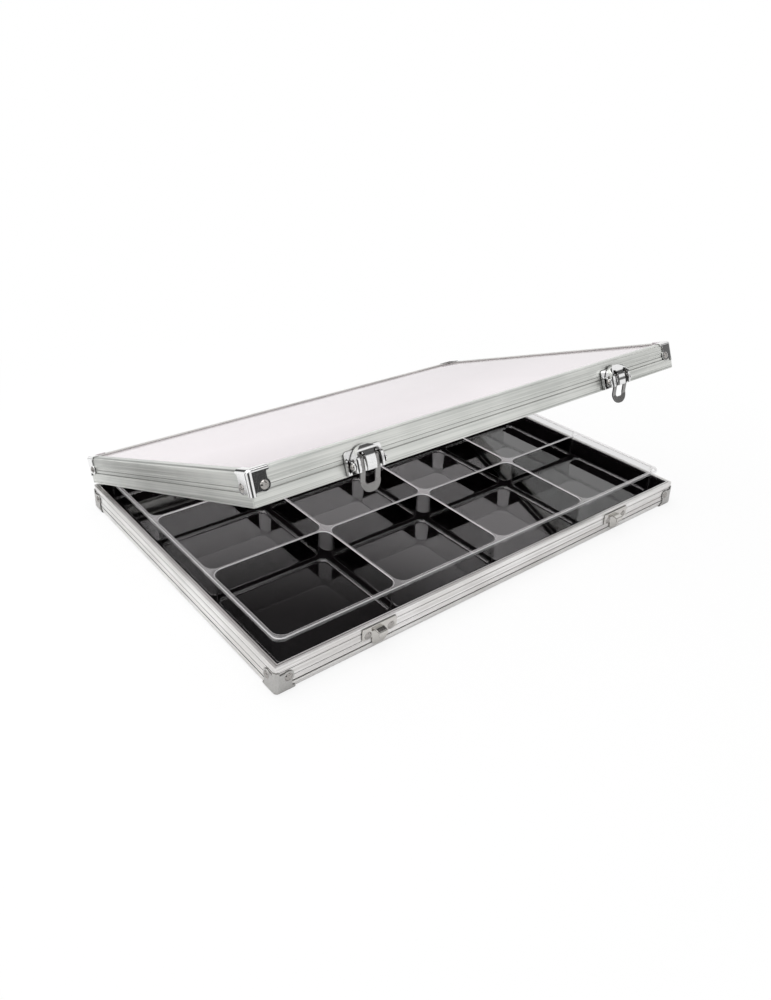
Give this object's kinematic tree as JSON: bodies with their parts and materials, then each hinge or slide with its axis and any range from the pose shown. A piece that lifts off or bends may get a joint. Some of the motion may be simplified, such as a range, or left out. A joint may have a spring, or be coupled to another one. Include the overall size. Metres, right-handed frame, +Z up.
{
  "type": "mineral specimen box",
  "caption": "Flat aluminium-framed display case with a hinged clear lid, draw latches, corner caps and a clear compartment tray for mineral specimens.",
  "frame": {"origin": "middle of the frame's underside, on the plane that the corner caps stand on", "axes": "+X along the front long side, left to right as seen from the front, +Y from the front to the hinged back, +Z up"},
  "size_m": [0.374, 0.2678, 0.13],
  "materials": {
    "aluminium_rail": "satin anodised, with fine lines along the extrusion",
    "matt_steel_cap": "matt plated sheet steel",
    "bright_steel_cap": "bright plated sheet steel",
    "bright_steel": "bright plated sheet steel",
    "rivet_steel": "plated, slightly dull",
    "clear_panel": "clear acrylic, polished",
    "clear_tray": "clear formed sheet, glossy",
    "bottom_board": "matt black board",
    "black_lining": "matt black lining"
  },
  "bodies": {
    "base": {"base_corner_cap_back_left": "matt_steel_cap", "base_corner_cap_back_right": "matt_steel_cap", "base_corner_cap_front_left": "matt_steel_cap", "base_corner_cap_front_right": "matt_steel_cap", "base_corner_rivets": "rivet_steel", "base_rail_back": "aluminium_rail", "base_rail_front": "aluminium_rail", "base_rail_left": "aluminium_rail", "base_rail_right": "aluminium_rail", "bottom_panel": "bottom_board", "catch_plate_left": "bright_steel", "catch_plate_right": "bright_steel", "catch_rivets": "rivet_steel", "compartment_tray": "clear_tray", "floor_lining": "black_lining", "hinge_base_leaf_left": "bright_steel", "hinge_base_leaf_right": "bright_steel", "hinge_base_rivets": "rivet_steel", "hinge_pin_left": "rivet_steel", "hinge_pin_right": "rivet_steel", "side_lining_back": "black_lining", "side_lining_front": "black_lining", "side_lining_left": "black_lining", "side_lining_right": "black_lining"},
    "lid": {"hinge_lid_leaf_left": "bright_steel", "hinge_lid_leaf_right": "bright_steel", "hinge_lid_rivets": "rivet_steel", "latch_plate_left": "bright_steel", "latch_plate_right": "bright_steel", "latch_plate_rivets": "rivet_steel", "latch_stub_rivets_left": "rivet_steel", "latch_stub_rivets_right": "rivet_steel", "lid_corner_cap_back_left": "bright_steel_cap", "lid_corner_cap_back_right": "bright_steel_cap", "lid_corner_cap_front_left": "bright_steel_cap", "lid_corner_cap_front_right": "bright_steel_cap", "lid_corner_rivets": "rivet_steel", "lid_panel": "clear_panel", "lid_rail_back": "aluminium_rail", "lid_rail_front": "aluminium_rail", "lid_rail_left": "aluminium_rail", "lid_rail_right": "aluminium_rail"},
    "lever_left": {"latch_lever_left": "bright_steel", "latch_loop_pin_left": "rivet_steel"},
    "lever_right": {"latch_lever_right": "bright_steel", "latch_loop_pin_right": "rivet_steel"},
    "loop_left": {"latch_loop_left": "bright_steel"},
    "loop_right": {"latch_loop_right": "bright_steel"}
  },
  "joints": [
    {"name": "lid_hinge", "type": "hinge", "parent": "base", "child": "lid", "pos_m": [0, 0.1306, 0.0188], "axis": [-1, 0, 0], "range_deg": [-20.9, 74.1]},
    {"name": "latch_lever_left", "type": "hinge", "parent": "lid", "child": "lever_left", "pos_m": [-0.1127, -0.11291, 0.11778], "axis": [1, 0, 0], "range_deg": [0, 80]},
    {"name": "latch_lever_right", "type": "hinge", "parent": "lid", "child": "lever_right", "pos_m": [0.1127, -0.11291, 0.11778], "axis": [1, 0, 0], "range_deg": [0, 80]},
    {"name": "latch_loop_left", "type": "hinge", "parent": "lever_left", "child": "loop_left", "pos_m": [-0.1127, -0.11149, 0.12066], "axis": [1, 0, 0], "range_deg": [-100, 0]},
    {"name": "latch_loop_right", "type": "hinge", "parent": "lever_right", "child": "loop_right", "pos_m": [0.1127, -0.11149, 0.12066], "axis": [1, 0, 0], "range_deg": [-100, 0]}
  ],
  "couplings": [
    {"joint": "latch_loop_left", "follows": "latch_lever_left", "ratio": -1.25},
    {"joint": "latch_loop_right", "follows": "latch_lever_right", "ratio": -1.25}
  ]
}
